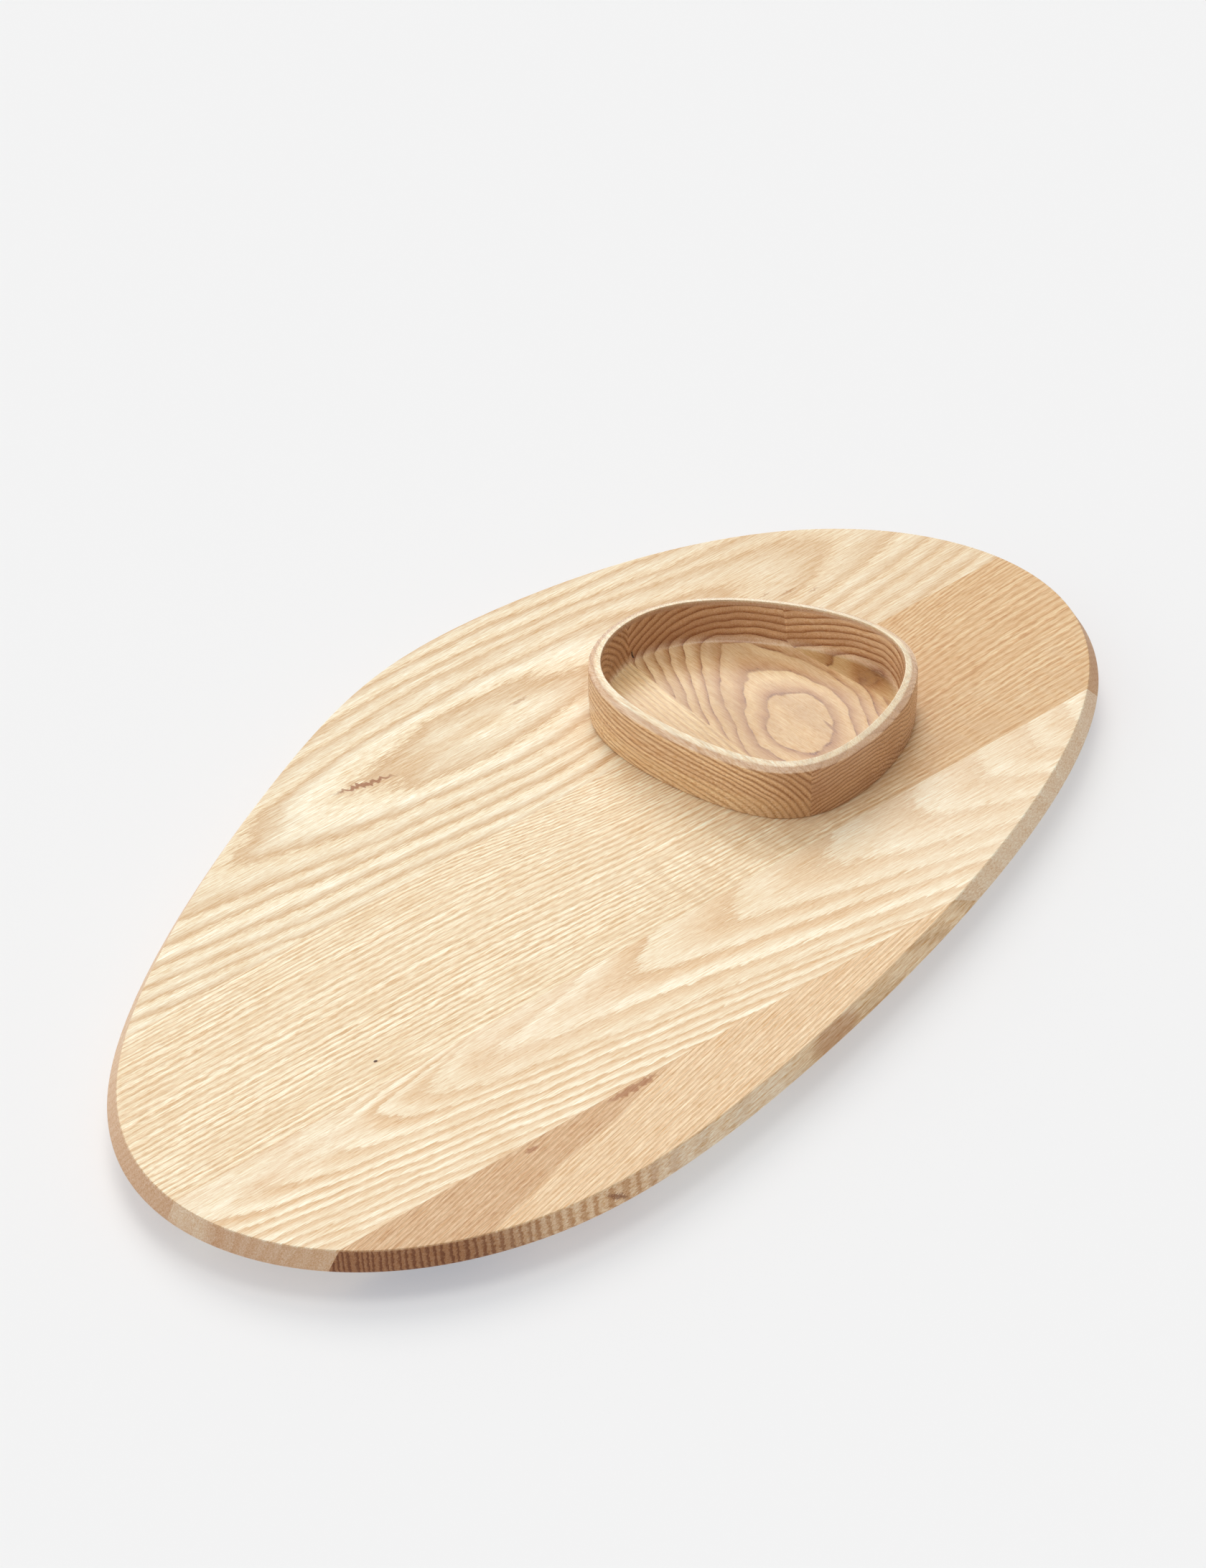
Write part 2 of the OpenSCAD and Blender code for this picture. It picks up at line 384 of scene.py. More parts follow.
def fanned_rings(ring, tilt, pivot, squeeze, crowds):
    """Rings seen edge on that close up towards v = pivot. squeeze is a list of (amount, u, half width)
    steps. Each (from, to, rings) of crowds packs that many more rings in."""
    def field(n, u, v, w):
        d = n.math("MULTIPLY_ADD", w, math.tan(math.radians(tilt)), n.math("SUBTRACT", v, float(pivot)))
        closing = 1.0
        for amount, middle, half_width in squeeze:
            along = n.math("DIVIDE", n.math("SUBTRACT", u, float(middle)), float(half_width))
            closing = n.math("MULTIPLY_ADD", n.math("TANH", along), amount, closing)
        d = n.math("MULTIPLY_ADD", d, closing, float(pivot))
        phase = n.math("DIVIDE", d, ring)
        for low, high, extra in crowds:
            phase = n.math("ADD", phase, n.remap(d, low, high, 0.0, extra, smooth=False))
        return phase
    return field


def round_rings(ring, pith, cone=0.0, cone_from=0.0, cone_soft=1.0, skew=0.0, start=0.0, core=-9.0,
                dense=None):
    """Rings about a pith line at (v, w) = pith, which skew turns in plan. They widen both ways from
    u = cone_from. dense = (u, u, times) packs them closer beyond the first u. start shifts them, and
    the count stays above core."""
    def field(n, u, v, w):
        across = n.math("MULTIPLY_ADD", u, skew, n.math("SUBTRACT", v, float(pith[0])))
        r = n.length(across, n.math("SUBTRACT", w, float(pith[1])))
        reach = n.length(n.math("SUBTRACT", u, float(cone_from)), float(cone_soft))
        r = n.math("MULTIPLY_ADD", reach, cone, r)
        r = n.math("SUBTRACT", r, abs(pith[1]) + cone * cone_soft)
        phase = n.math("DIVIDE", r, ring)
        if dense:
            phase = n.math("MULTIPLY", phase, n.remap(u, dense[0], dense[1], 1.0, dense[2]))
        return n.math("MAXIMUM", n.math("SUBTRACT", phase, start), core)
    return field


def arch_rings(tips, pith, slope, gain, gain_from, upper, blunt):
    """Cathedral arches that point back along u. tips are their places on the pith line. Their arms
    open by slope, and by gain for each squared mm beyond gain_from. upper = (u, u, times, times)
    stretches the upper arms. blunt = (u, u, mm, half width) pushes tips before the first u back."""
    def field(n, u, v, w):
        depth = abs(pith[1])
        across = n.math("SUBTRACT", v, float(pith[0]))
        stretch = n.remap(u, *upper)
        above = n.math("MULTIPLY", n.math("MAXIMUM", across, 0.0), stretch)
        across = n.math("ADD", above, n.math("MINIMUM", across, 0.0))
        r = n.length(across, n.math("SUBTRACT", w, float(pith[1])))
        r = n.math("SUBTRACT", r, float(depth))
        near = n.math("DIVIDE", across, float(blunt[3]))
        near = n.math("EXPONENT", n.math("MULTIPLY", n.math("MULTIPLY", near, near), -1.0))
        pushed = n.math("MULTIPLY", n.remap(u, blunt[1], blunt[0], 0.0, -blunt[2]), near)
        beyond = n.math("MAXIMUM", n.math("SUBTRACT", n.math("MULTIPLY_ADD", r, -4.0, u), gain_from), 0.0)
        opening = n.math("MULTIPLY_ADD", n.math("MULTIPLY", beyond, beyond), gain, slope)
        tip = n.math("ADD", n.math("SUBTRACT", u, n.math("DIVIDE", r, opening)), pushed)
        phase = n.math("DIVIDE", n.math("SUBTRACT", tip, float(tips[0])), float(tips[1] - tips[0]))
        phase = n.math("MINIMUM", phase, 1.0)
        for here, after in zip(tips[1:], tips[2:]):
            phase = n.math("ADD", phase, n.remap(tip, here, after, smooth=False))
        last = n.math("MAXIMUM", n.math("SUBTRACT", tip, float(tips[-1])), 0.0)
        return n.math("MULTIPLY_ADD", last, 1 / (tips[-1] - tips[-2]), phase)
    return field


def mark(n, u, v, at, half_size, slope=0.0, barb=0.0, rough=None):
    """A mask, 1 inside an ellipse at (u, v) = at, whose edge barb makes ragged with the rough noise."""
    du = n.math("SUBTRACT", u, float(at[0]))
    dv = n.math("SUBTRACT", n.math("SUBTRACT", v, float(at[1])), n.math("MULTIPLY", du, slope))
    if barb:
        dv = n.math("MULTIPLY_ADD", n.math("SUBTRACT", rough, 0.5), barb, dv)
    d = n.length(n.math("DIVIDE", du, float(half_size[0])), n.math("DIVIDE", dv, float(half_size[1])))
    return n.remap(d, 1.25, 0.6)


def ash(name, origin, turn, rings, tones, wave, spots, feather, calm, uneven=0.8, grain=1.0,
        fading=0.45, ragged=0.0, broken=None, edge_tone=None, end_grain=BOARD_ENDS, gloss=BOARD_GLOSS):
    """Solid ash wood in a stave's own axes, in mm: u along the grain, v across, w up.
    rings(n, u, v, w) counts the growth rings. tones are (place in the ring, sRGB colour) pairs.
    wave = (size, length along, length across) bends the rings, uneven varies their widths, feather
    and ragged roughen them with fibres and dashes. calm and fading weaken some rings, and grain
    sets the strength of the fine shade. spots(n, u, v, w, colour, part, fibre, drift) adds marks."""
    material = bpy.data.materials.new(name)
    material.use_nodes = True
    n = Nodes(material)
    where = n.add("ShaderNodeTexCoord")
    placed = n.add("ShaderNodeVectorMath", operation="SUBTRACT")
    n.feed(placed.inputs[0], where.outputs["Object"])
    placed.inputs[1].default_value = [c * MM for c in origin]
    turned = n.add("ShaderNodeVectorRotate", rotation_type="Z_AXIS")
    n.feed(turned.inputs["Vector"], placed.outputs[0])
    turned.inputs["Angle"].default_value = math.radians(-turn)
    p = n.scaled(turned.outputs[0], (1000, 1000, 1000))
    axes = n.add("ShaderNodeSeparateXYZ")
    n.feed(axes.inputs[0], p)
    u, v, w = axes.outputs

    size, along, across = wave
    bend = n.add("ShaderNodeTexNoise")
    n.feed(bend.inputs["Vector"], n.scaled(p, (1 / along, 1 / across, 1 / across)))
    bend.inputs["Scale"].default_value = 1.0
    bend.inputs["Detail"].default_value = 2.0
    bend_axes = n.add("ShaderNodeSeparateXYZ")
    n.feed(bend_axes.inputs[0], bend.outputs["Color"])
    bent_v = n.math("ADD", v, n.math("MULTIPLY_ADD", bend_axes.outputs[0], 2 * size, -size))
    bent_w = n.math("ADD", w, n.math("MULTIPLY_ADD", bend_axes.outputs[1], 2 * size, -size))
    phase = rings(n, u, bent_v, bent_w)
    phase = n.math("MULTIPLY_ADD", n.noise_1d(n.math("DIVIDE", phase, RINGS_PER_SWELL)), uneven, phase)

    # Fibres: fine streaks along the grain, which also feather the edges of the rings
    streak = n.noise(n.scaled(p, STREAK_CELLS), detail=2, roughness=0.6)
    fibre = n.noise(n.scaled(p, FIBRE_CELLS), detail=2, roughness=0.65)
    phase = n.math("MULTIPLY_ADD", n.math("SUBTRACT", fibre, 0.5), feather * 2, phase)
    if ragged:
        dashes = n.noise(n.scaled(p, DASH_CELLS), detail=1)
        phase = n.math("MULTIPLY_ADD", n.math("SUBTRACT", dashes, 0.5), ragged * 2, phase)
    part = n.math("FRACT", phase)
    odd = n.add("ShaderNodeTexWhiteNoise", noise_dimensions="1D")
    n.feed(odd.inputs["W"], n.math("FLOOR", phase))

    colour = n.ramp(part, tones)
    if broken:
        breaks = n.noise(n.scaled(p, BREAK_CELLS), detail=2)
        colour = n.mix(n.remap(breaks, 0.4, 0.62, 0.25, 1.0), n.ramp(part, broken), colour)

    # Rings differ in strength, and the contrast drifts over the stave
    drift = n.noise(n.scaled(p, DRIFT_CELLS), detail=2)
    weak = n.remap(n.math("MULTIPLY_ADD", odd.outputs["Value"], fading, drift), 0.5, 0.95, 0.0, calm)
    middle_tone = [sum(tone[k] for _, tone in tones) / len(tones) for k in range(3)]
    colour = n.mix(weak, colour, linear(middle_tone))
    if edge_tone:
        colour = n.mix(n.remap(w, -0.3, -0.9, 0.0, EDGE_TONE_MIX), colour, linear(edge_tone))
    colour = spots(n, u, v, w, colour, part, fibre, drift)

    shade = n.math("MULTIPLY_ADD", n.math("SUBTRACT", streak, 0.5), STREAK_SHADE * grain, 1.0)
    shade = n.math("MULTIPLY_ADD", n.math("SUBTRACT", fibre, 0.5), FIBRE_SHADE * grain, shade)
    pore = n.noise(n.scaled(p, PORE_CELLS), detail=1)
    pored = n.math("MULTIPLY", n.remap(pore, 0.56, 0.68), n.remap(part, 0.3, 0.9, 0.25, 1.0))
    shade = n.math("MULTIPLY", shade, n.math("MULTIPLY_ADD", pored, -PORE_SHADE, 1.0))
    broad = n.noise(n.scaled(p, BROAD_CELLS), detail=1)
    shade = n.math("MULTIPLY", shade, n.math("MULTIPLY_ADD", broad, BROAD_SHADE, 1.0 - BROAD_SHADE / 2))

    # Sawn ends drink more oil, so they are darker
    turned_normal = n.add("ShaderNodeVectorMath", operation="DOT_PRODUCT")
    n.feed(turned_normal.inputs[0], where.outputs["Normal"])
    grain_turn = math.radians(turn)
    turned_normal.inputs[1].default_value = (math.cos(grain_turn), math.sin(grain_turn), 0)
    ends = n.remap(n.math("ABSOLUTE", turned_normal.outputs["Value"]), 0.25, 0.95)
    bite = n.add("ShaderNodeVectorMath", operation="MULTIPLY_ADD")
    n.feed(bite.inputs[0], n.math("SUBTRACT", shade, 1.0))
    bite.inputs[1].default_value = SHADE_BITE
    bite.inputs[2].default_value = (1, 1, 1)
    darker = n.tint(ends, n.scaled(colour, bite.outputs[0]), end_grain)

    look = n.tree.nodes["Principled BSDF"]
    n.feed(look.inputs["Base Color"], darker)
    n.feed(look.inputs["Roughness"], n.math("MULTIPLY_ADD", fibre, FIBRE_ROUGHNESS, gloss[0]))
    look.inputs["Specular IOR Level"].default_value = gloss[1]
    bump = n.add("ShaderNodeBump")
    bump.inputs["Strength"].default_value = BUMP_STRENGTH
    bump.inputs["Distance"].default_value = BUMP_DEPTH
    n.feed(bump.inputs["Height"], n.math("SUBTRACT", n.math("MULTIPLY", fibre, 0.5), pored))
    n.feed(look.inputs["Normal"], bump.outputs["Normal"])
    return material


# ---------------------------------------------------------------- board
def board_mesh():
    outline = pebble(BOARD_PEBBLE, BOARD_L - 2 * EDGE_RUN, BOARD_W - 2 * EDGE_RUN)
    waist = TOP_Z - EDGE_DROP
    profile = rounded([(EDGE_RUN - UNDERCUT - 1.5, BOARD_Z, 0), (EDGE_RUN - UNDERCUT, BOARD_Z, 0.8),
                       (EDGE_RUN, waist, 1.2), (0, TOP_Z, 0.45), (-1.5, TOP_Z, 0)], steps=6)
    shrink = [1 - k / 12 for k in range(1, 13)]
    return lofted(outline, profile, [(k, BOARD_Z) for k in shrink], [(k, TOP_Z) for k in shrink], (0, 0))


def stave(name, node, low, high, material):
    mesh = board_mesh()
    turn = math.radians(SEAM_ANGLE)
    for offset, keep_left in ((low, True), (high, False)):
        if offset is not None:
            point = (-math.sin(turn) * offset, math.cos(turn) * offset)
            keep_side(mesh, point, SEAM_ANGLE, keep_left)
    finished_piece(name, mesh, material, "board", node)


def stave_origin(offset):
    """The point of the stave's grain axis that is nearest to the board's centre."""
    turn = math.radians(SEAM_ANGLE)
    return (-math.sin(turn) * offset, math.cos(turn) * offset, TOP_Z)


BACK_TONES = [(0, (216, 176, 129)), (0.16, (248, 228, 192)), (0.5, (255, 244, 216)), (1, (220, 183, 138))]
FINE_TONES = [(0, (218, 178, 131)), (0.2, (241, 209, 166)), (0.45, (255, 239, 206)), (0.72, (255, 243, 212)),
              (1, (222, 183, 137))]
ARCH_TONES = [(0, (228, 192, 149)), (0.08, (252, 237, 206)), (0.3, (255, 242, 213)), (0.75, (237, 204, 162)),
              (1, (227, 190, 146))]
FRONT_TONES = [(0, (217, 180, 136)), (0.4, (243, 211, 170)), (0.7, (243, 211, 170)), (1, (216, 178, 134))]
EDGE_TONE = (226, 190, 154)
# Where the middle stave's arches have their tips, in mm along its grain
ARCH_TIPS = (-303, -268, -233, -205, -125, -37, 23, 83, 137, 180, 213, 237)
# The front stave's grain runs this many degrees askew of the seams. Its edge has dark and pale
# stripes, each from (line, between)
FRONT_VEER = 13
DARK_STRIPES, PALE_STRIPES = ((126, 76, 46), (172, 122, 82)), ((202, 152, 108), (236, 202, 164))
BROWN_ZONE_TINT = (0.77, 0.66, 0.57)
# Beyond the bowl the stave is tanner: partly the wood's own tone, partly painted shade from the bowl
BEYOND_BOWL_TONE_AND_SHADE = (0.82, 0.67, 0.52)
# (place, half size, strength) of the back stave's faint marks
FAINT_MARKS = [((57, 8), (5, 1.0), 0.5), ((206, -13), (5, 0.8), 0.5), ((216, -20), (3, 0.7), 0.45),
               ((196, -8), (3, 0.6), 0.4)]


def back_spots(n, u, v, w, colour, part, fibre, drift):
    """The far end and edge are tanner. A feathery brown knot mark, and two faint ones."""
    end = n.math("MULTIPLY", n.remap(u, 90, 230), 0.42)
    edge = n.math("MULTIPLY", n.remap(v, 10, 70), 0.18)
    colour = n.mix(n.math("ADD", end, edge), colour, linear((226, 193, 151)))
    flame = mark(n, u, v, (10, 6), (48, 5), slope=0.04, barb=8, rough=drift)
    colour = n.mix(n.math("MULTIPLY", flame, 0.6), colour, linear((229, 196, 153)))
    barbs = n.noise(n.scaled(n.joined(u, v), (1 / 2.4, 1 / 9, 1)), detail=1)
    knot = mark(n, u, v, (-37, 8), (15, 1.5), slope=-0.26, barb=7, rough=barbs)
    colour = n.mix(n.math("MULTIPLY", knot, 0.85), colour, linear((158, 96, 54)))
    for place, half_size, strength in FAINT_MARKS:
        faint = mark(n, u, v, place, half_size, barb=4, rough=barbs)
        colour = n.mix(n.math("MULTIPLY", faint, strength), colour, linear((186, 134, 88)))
    return colour


def dark_spots(n, u, v, w, colour, part, fibre, drift):
    """Tanner beyond the bowl, partly the wood's own tone and partly painted shade from the bowl, with slight
    cross ripples before it, and a pin-head dark brown knot.
    """
    # Tanner from under the bowl onwards: partly the wood's tone, partly painted shade from the bowl
    end = n.remap(u, 60, 190)
    colour = n.tint(end, colour, BEYOND_BOWL_TONE_AND_SHADE)
    ripple = n.noise(n.scaled(n.joined(u, v), (1 / 7, 1 / 26, 1)), detail=1)
    where = n.math("MULTIPLY", n.remap(u, -30, 20), n.remap(v, -5, -20))
    ripples = n.math("MULTIPLY", where, n.remap(ripple, 0.45, 0.65, 0.0, 0.4))
    colour = n.mix(ripples, colour, linear((224, 190, 147)))
    return n.mix(mark(n, u, v, (-164, -36), (1.1, 0.8)), colour, linear((84, 46, 24)))


def middle_spots(n, u, v, w, colour, part, fibre, drift):
    """The first arches are worn to blotches, the next is soft, and the far end is paler."""
    left = n.math("MULTIPLY", n.remap(u, -185, -215), n.remap(v, -8, 0))
    blotch = n.remap(drift, 0.35, 0.65)
    worn = n.mix(blotch, linear((236, 204, 165)), linear((252, 237, 207)))
    colour = n.mix(n.math("MULTIPLY", left, 0.85), colour, worn)
    soft = n.math("MULTIPLY", n.remap(u, -20, -70, 0.0, 0.5), n.remap(u, -150, -115))
    soft = n.math("MULTIPLY", soft, n.remap(v, -22, -8))
    colour = n.mix(soft, colour, linear((245, 221, 188)))
    return n.mix(n.remap(u, 60, 150, 0.0, 0.35), colour, linear((252, 234, 205)))


def front_spots(n, u, v, w, colour, part, fibre, drift):
    """A brown zone narrows along the seam. The sawn edge is striped, then whitish, with a patch.
    The grain runs askew here, so the places are turned back to lie along the seam."""
    back = math.radians(FRONT_VEER)
    cos, sin = math.cos(back), math.sin(back)
    u, v = (n.math("SUBTRACT", n.math("MULTIPLY", u, cos), n.math("MULTIPLY", v, sin)),
            n.math("ADD", n.math("MULTIPLY", u, sin), n.math("MULTIPLY", v, cos)))
    low = n.math("MULTIPLY_ADD", u, 0.25, 32)
    low = n.math("MULTIPLY_ADD", n.math("SUBTRACT", drift, 0.5), 12, low)
    zone = n.remap(n.math("SUBTRACT", v, low), -2.0, 2.5)
    zone = n.math("MULTIPLY", zone, n.remap(fibre, 0.3, 0.6, 1.0, 0.75))
    colour = n.tint(zone, colour, BROWN_ZONE_TINT)
    rough = n.noise(n.scaled(n.joined(u, v), (1 / 3, 1 / 6, 1)), detail=1)
    streak = mark(n, u, v, (-92, 13.6), (15, 1.8), barb=6, rough=rough)
    speck = mark(n, u, v, (-153, 12), (4, 1.2), barb=5, rough=rough)
    streaks = n.math("MAXIMUM", n.math("MULTIPLY", streak, 0.72), n.math("MULTIPLY", speck, 0.7))
    colour = n.mix(streaks, colour, linear((166, 106, 62)))
    edge = n.remap(w, -0.3, -0.9)
    stripes, pale_stripes = [n.mix(n.remap(part, 0.25, 0.6), linear(line), linear(between))
                             for line, between in (DARK_STRIPES, PALE_STRIPES)]
    colour = n.mix(n.math("MULTIPLY", edge, n.remap(u, -70, -120, 0.0, 0.8)), colour, pale_stripes)
    striped = n.math("MULTIPLY", edge, n.remap(u, -158, -222, 0.0, 0.92))
    colour = n.mix(striped, colour, stripes)
    white = n.math("MULTIPLY", n.remap(u, -135, -100), n.remap(u, -10, -40))
    colour = n.mix(n.math("MULTIPLY", n.math("MULTIPLY", edge, white), 0.55), colour,
                   linear((246, 226, 198)))
    patch = n.math("MULTIPLY", edge, mark(n, u, w, (6, -5), (17, 7), barb=6, rough=drift))
    colour = n.mix(n.math("MULTIPLY", patch, 0.55), colour, linear((190, 138, 98)))
    knot = n.math("MULTIPLY", edge, mark(n, u, w, (-142, -5), (5, 1.2), slope=-0.4, barb=5, rough=fibre))
    return n.mix(n.math("MULTIPLY", knot, 0.8), colour, linear((140, 84, 52)))


back_ash = ash("back_ash", stave_origin(100), SEAM_ANGLE,
               round_rings(6.5, (5, -42), cone=0.1, cone_from=30, cone_soft=60), BACK_TONES,
               wave=(4.2, 100, 25), calm=0.35, feather=0.2, ragged=0.22, grain=1.5, edge_tone=EDGE_TONE,
               spots=back_spots)
dark_ash = ash("dark_ash", stave_origin(-10), SEAM_ANGLE,
               fanned_rings(4.2, 35, -55, [(0.13, 0, 60), (-0.13, 225, 55)], [(34, 76, 9), (-60, -10, 3.5)]),
               FINE_TONES, wave=(2, 130, 50), uneven=0.5, calm=0.5, feather=0.3, ragged=0.45, grain=1.3,
               edge_tone=EDGE_TONE, spots=dark_spots)
middle_ash = ash("middle_ash", stave_origin(-78), SEAM_ANGLE,
                 arch_rings(ARCH_TIPS, (2, -7), 0.155, 4.2e-6, -150.0, (-100, 0, 1.6, 0.6),
                            (-150, -130, 45, 12)), ARCH_TONES, wave=(2, 46, 13),
                 uneven=0, calm=0.5, feather=0.12, fading=0.6, ragged=0.25, grain=1.3,
                 edge_tone=EDGE_TONE, spots=middle_spots)
front_ash = ash("front_ash", stave_origin(-150), SEAM_ANGLE + FRONT_VEER, flat_rings(2.2, -25),
                FRONT_TONES, wave=(1.6, 120, 40), uneven=0.8, calm=0.35, feather=0.25, ragged=0.3, grain=1.7,
                spots=front_spots)
stave("back_stave_wood", "back_stave", SEAMS[2], None, back_ash)
stave("bowl_side_stave_wood", "bowl_side_stave", SEAMS[1], SEAMS[2], dark_ash)
stave("middle_stave_wood", "middle_stave", SEAMS[0], SEAMS[1], middle_ash)
stave("front_stave_wood", "front_stave", None, SEAMS[0], front_ash)


# ---------------------------------------------------------------- bowl
def bowl_mesh():
    outline = pebble(BOWL_PEBBLE, *BOWL_OPENING)
    rim = RIM_BAND + RIM_BEVEL
    shoulder = BOWL_H - RIM_BAND_DROP - RIM_BEVEL_DROP
    cove_top = BOWL_FLOOR + COVE_R
    floor_edge = -INNER_DRAFT - COVE_R
    profile = [(rim - WALL_TAPER - 2, 0, 0), (rim - WALL_TAPER, 0, 0.9),
               (rim - WALL_TAPER / 2 + WALL_BOW, shoulder / 2, 40), (rim, shoulder, 0.5),
               (RIM_BAND, BOWL_H - RIM_BAND_DROP, 0.4), (0, BOWL_H, 0.35),
               (-INNER_DRAFT, cove_top, 6), (-INNER_DRAFT, BOWL_FLOOR, COVE_R),
               (floor_edge - 1, BOWL_FLOOR, 0)]
    profile = [(g, z + BOWL_Z) for g, z in rounded(profile, steps=8)]
    base_cap = [(1 - k / 8, BOWL_Z) for k in range(1, 9)]
    floor_cap = [(1 - k / 12, BOWL_Z + BOWL_FLOOR - FLOOR_DISH * math.sin(math.pi / 2 * k / 12) ** 2)
                 for k in range(1, 13)]
    return lofted(outline, profile, base_cap, floor_cap, (BOWL_X, 0))


def bowl_stave(name, node, cuts, material):
    mesh = bowl_mesh()
    for (x, angle), keep_left in cuts:
        keep_side(mesh, (BOWL_X + x, 0), angle, keep_left)
    finished_piece(name, mesh, material, "bowl", node)


BOWL_GRAIN = 79.7
WALL_TINT, WALL_LINE_TINT = (1.13, 1.14, 1.15), (0.78, 0.68, 0.60)
# The floor's far end gets painted light, against the shade of the far wall
FLOOR_NEAR_TINT, FLOOR_FAR_PAINTED_LIGHT = (0.82, 0.77, 0.59), (1.10, 1.15, 1.09)
# The rim's cream band tone is partly a painted highlight
RIM_BEVEL_TONE, RIM_BAND_TONE_AND_HIGHLIGHT, RIM_MIX = (230, 196, 164), (255, 240, 208), 0.78
FLOOR_Z = BOWL_Z + BOWL_FLOOR
BOWL_TONES = [(0, (138, 80, 48)), (0.06, (190, 138, 96)), (0.28, (218, 174, 130)),
              (0.65, (244, 210, 168)), (0.95, (240, 204, 161)), (1, (138, 80, 48))]
BROKEN_TONES = [(0, (202, 156, 114)), (0.08, (202, 156, 114)), (0.3, (221, 180, 138)),
                (0.7, (237, 202, 160)), (0.92, (235, 199, 156)), (1, (202, 156, 114))]
LEFT_TONES = [(0, (176, 126, 85)), (0.25, (228, 188, 143)), (0.7, (246, 213, 170)), (1, (178, 128, 87))]


def bowl_spots(n, u, v, w, colour, part, fibre, drift):
    """The rim is painted paler than the walls: close to cream on its band, partly as a painted highlight,
    and greyish on its outer bevel.
    The floor is yellower than the walls, and its far end is painted paler: painted light against the shade
    of the far wall."""
    rim = n.remap(w, 18.6, 19.6)
    band = n.remap(w, 20.4, 21.2)
    up = n.add("ShaderNodeSeparateXYZ")
    n.feed(up.inputs[0], n.add("ShaderNodeTexCoord").outputs["Normal"])
    floor_part = n.math("MULTIPLY", n.remap(up.outputs[2], 0.7, 0.97), n.remap(w, 6, 2))
    wall = n.math("SUBTRACT", 1.0, floor_part)
    colour = n.tint(wall, colour, WALL_TINT)
    colour = n.tint(n.math("MULTIPLY", wall, n.remap(part, 0.5, 0.0)), colour, WALL_LINE_TINT)
    away = n.math("MULTIPLY_ADD", v, -0.68, n.math("MULTIPLY", u, 0.73))
    far = n.remap(away, 5, 55)
    near = n.math("MULTIPLY", floor_part, n.math("SUBTRACT", 1.0, far))
    colour = n.tint(near, colour, FLOOR_NEAR_TINT)
    # Painted light: the far end of the floor is made paler
    colour = n.tint(n.math("MULTIPLY", floor_part, far), colour, FLOOR_FAR_PAINTED_LIGHT)
    # The rim's cream band is partly a painted highlight
    rim_tone_and_highlight = n.mix(band, linear(RIM_BEVEL_TONE), linear(RIM_BAND_TONE_AND_HIGHLIGHT))
    return n.mix(n.math("MULTIPLY", rim, RIM_MIX), colour, rim_tone_and_highlight)


def left_bowl_spots(n, u, v, w, colour, part, fibre, drift):
    """The left stave's grain is pale and fine on the floor, and strong on the walls."""
    colour = n.mix(n.remap(w, 5, 1, 0.0, 0.45), colour, linear((242, 210, 163)))
    return bowl_spots(n, u, v, w, colour, part, fibre, drift)


def middle_bowl_spots(n, u, v, w, colour, part, fibre, drift):
    """A short dark streak on the floor, and a short crack in the cove at the back."""
    dark = mark(n, u, v, (-11, -7), (6, 0.8), slope=-0.2, barb=2, rough=drift)
    colour = n.mix(n.math("MULTIPLY", n.math("MULTIPLY", dark, 0.7), n.remap(w, 8, 4)), colour,
                   linear((158, 98, 62)))
    crack = mark(n, u, v, (87, 25.3), (2.6, 0.5), slope=0.5)
    crack = n.math("MULTIPLY", crack, n.math("MULTIPLY", n.remap(w, 1, 1.6), n.remap(w, 5, 4.4)))
    colour = n.mix(n.math("MULTIPLY", crack, 0.95), colour, linear((48, 34, 28)))
    return bowl_spots(n, u, v, w, colour, part, fibre, drift)


bowl_left_ash = ash("bowl_left_ash", (BOWL_X - 45, 0, FLOOR_Z), BOWL_GRAIN,
                    round_rings(2.8, (20, -15), cone=0.12, cone_from=70), LEFT_TONES,
                    wave=(2, 50, 18), feather=0.2, calm=0.5, grain=1.3, end_grain=BOWL_ENDS,
                    gloss=BOWL_GLOSS, fading=0.3, spots=left_bowl_spots)
bowl_middle_ash = ash("bowl_middle_ash", (BOWL_X + 3.6, -25, FLOOR_Z), BOWL_GRAIN,
                      round_rings(3.8, (0, -48), cone=0.178, cone_soft=6, skew=0.25,
                                  start=-0.15, core=0.55, dense=(-26, -42, 1.7)), BOWL_TONES,
                      wave=(2.2, 30, 15), uneven=0.2, feather=0.09, calm=0.45, end_grain=BOWL_ENDS,
                      gloss=BOWL_GLOSS, fading=0.3, broken=BROKEN_TONES, spots=middle_bowl_spots)
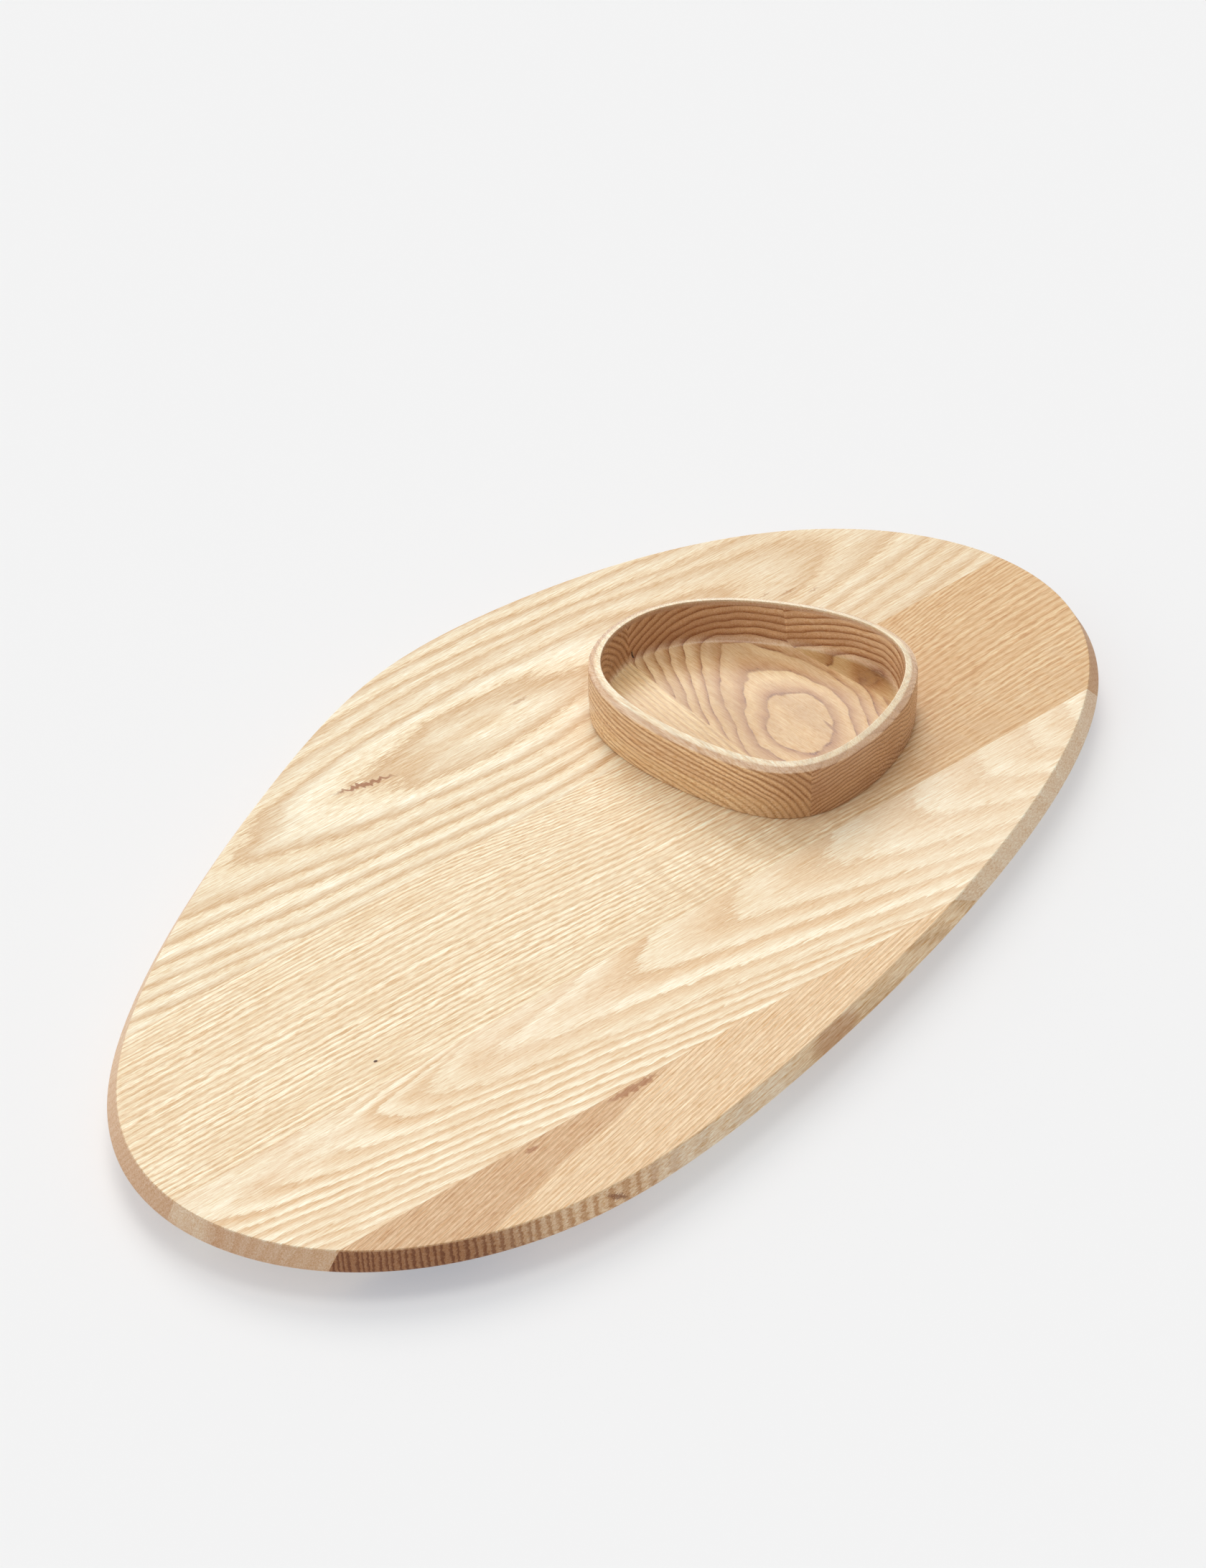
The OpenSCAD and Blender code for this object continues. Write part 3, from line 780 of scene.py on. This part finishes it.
bowl_right_ash = ash("bowl_right_ash", (BOWL_X + 51.4, -31.4, FLOOR_Z), BOWL_GRAIN,
                     round_rings(3.8, (0, -50), cone=0.178, start=0.33, core=-0.1), BOWL_TONES,
                     wave=(2, 30, 15), uneven=0.2, feather=0.09, calm=0.45, end_grain=BOWL_ENDS,
                     gloss=BOWL_GLOSS, fading=0.3, broken=BROKEN_TONES, spots=bowl_spots)
bowl_stave("bowl_left_stave_wood", "bowl_left_stave", [(BOWL_SEAMS[0], True)], bowl_left_ash)
bowl_stave("bowl_middle_stave_wood", "bowl_middle_stave", [(BOWL_SEAMS[0], False), (BOWL_SEAMS[1], True)],
           bowl_middle_ash)
bowl_stave("bowl_right_stave_wood", "bowl_right_stave", [(BOWL_SEAMS[1], False)], bowl_right_ash)

# ---------------------------------------------------------------- feet and screws
def plain_material(name, colour, rough, metal, speckle, bump_depth):
    """Rubber or steel, a little uneven in tone, gloss and surface."""
    material = bpy.data.materials.new(name)
    material.use_nodes = True
    n = Nodes(material)
    where = n.add("ShaderNodeTexCoord").outputs["Object"]
    grit = n.noise(n.scaled(where, (speckle, speckle, speckle)), detail=3)
    dark = (*[c * 0.8 for c in colour], 1)
    look = n.tree.nodes["Principled BSDF"]
    n.feed(look.inputs["Base Color"], n.mix(n.remap(grit, 0.3, 0.7), dark, (*colour, 1)))
    n.feed(look.inputs["Roughness"], n.remap(grit, 0.3, 0.7, rough - 0.06, rough + 0.06))
    look.inputs["Metallic"].default_value = metal
    bump = n.add("ShaderNodeBump")
    bump.inputs["Strength"].default_value = 0.3
    bump.inputs["Distance"].default_value = bump_depth
    n.feed(bump.inputs["Height"], grit)
    n.feed(look.inputs["Normal"], bump.outputs["Normal"])
    return material


def give(node, material):
    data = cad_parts[node]
    for place in data.material_slots:
        place.material = material


rubber = plain_material("foot_rubber_look", (0.045, 0.043, 0.042), 0.62, 0.0, 2200, 0.00006)
steel = plain_material("screw_steel_look", (0.60, 0.58, 0.55), 0.30, 1.0, 900, 0.00002)
for corner_name in ("front_left", "front_right", "back_left", "back_right"):
    give("foot_" + corner_name, rubber)
give("foot_screws", steel)
